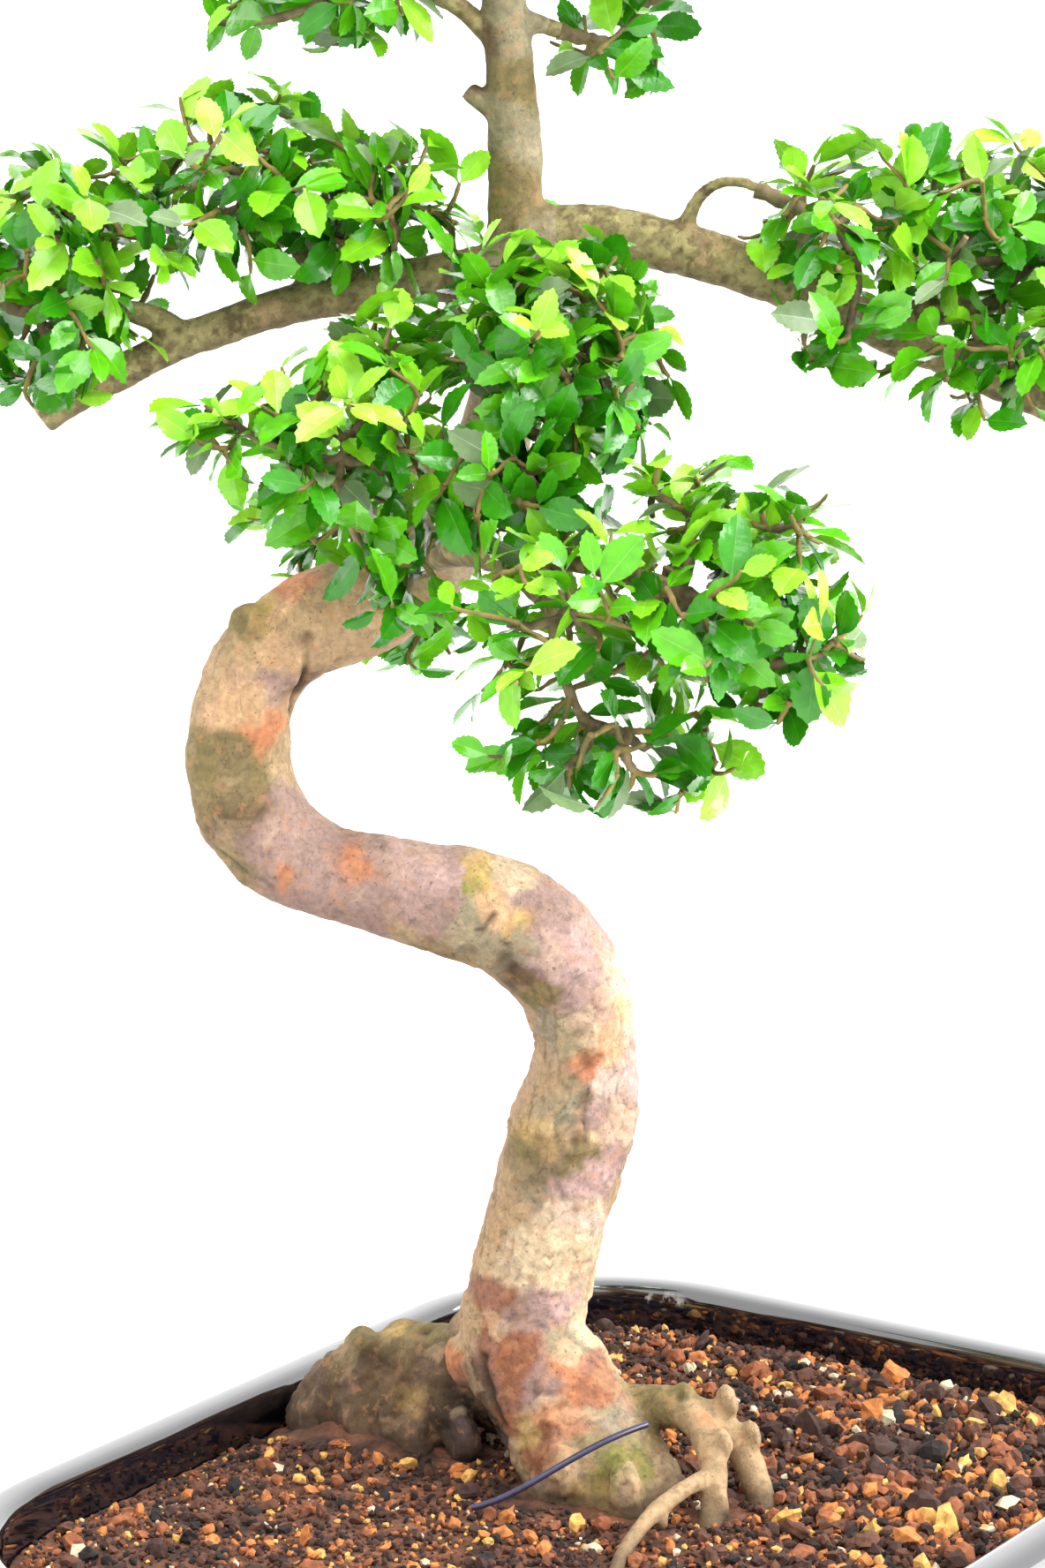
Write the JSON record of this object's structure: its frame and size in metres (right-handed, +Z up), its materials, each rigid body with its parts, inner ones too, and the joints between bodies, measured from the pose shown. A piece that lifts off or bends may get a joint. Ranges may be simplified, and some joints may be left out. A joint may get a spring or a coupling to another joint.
{
  "type": "bonsai tree",
  "caption": "Bonsai tree with an S-curved trunk, root flare and pads of small leaves, planted in a glazed rectangular pot.",
  "frame": {"origin": "centre of the pot's flat underside, on the surface it stands on", "axes": "+Z up, out of the pot towards the top of the tree; +X along the pot's long side; +Y along its short side. The tree's front, as pictured, faces (-0.83, -0.56, 0)"},
  "size_m": [0.25, 0.2403, 0.4967],
  "materials": {
    "glaze": "gloss",
    "soil": "matte",
    "bark": "matte",
    "young_bark": "matte",
    "leaves": "satin",
    "wire_coat": "gloss"
  },
  "bodies": {
    "root": {"apex_foliage": "leaves", "back_bough": "young_bark", "back_foliage": "leaves", "back_low_bough": "young_bark", "back_low_foliage": "leaves", "centre_bough": "young_bark", "centre_foliage": "leaves", "front_bough": "young_bark", "front_fork": "young_bark", "front_left_bough": "young_bark", "front_left_foliage": "leaves", "front_low_foliage": "leaves", "front_right_foliage": "leaves", "high_left_bough": "young_bark", "high_left_foliage": "leaves", "high_right_bough": "young_bark", "high_right_foliage": "leaves", "left_bough": "young_bark", "left_inner_foliage": "leaves", "left_outer_foliage": "leaves", "left_riser": "young_bark", "left_side_limb": "young_bark", "pot": "glaze", "right_bough": "young_bark", "right_fork": "young_bark", "right_inner_foliage": "leaves", "right_outer_foliage": "leaves", "right_riser": "young_bark", "right_tip_foliage": "leaves", "soil": "soil", "tie_wire": "wire_coat", "trunk": "bark", "upper_back_bough": "young_bark", "upper_back_foliage": "leaves", "upper_front_bough": "young_bark", "upper_front_foliage": "leaves", "upper_left_bough": "young_bark", "upper_left_foliage": "leaves", "upper_right_bough": "young_bark", "upper_right_foliage": "leaves"}
  },
  "joints": []
}
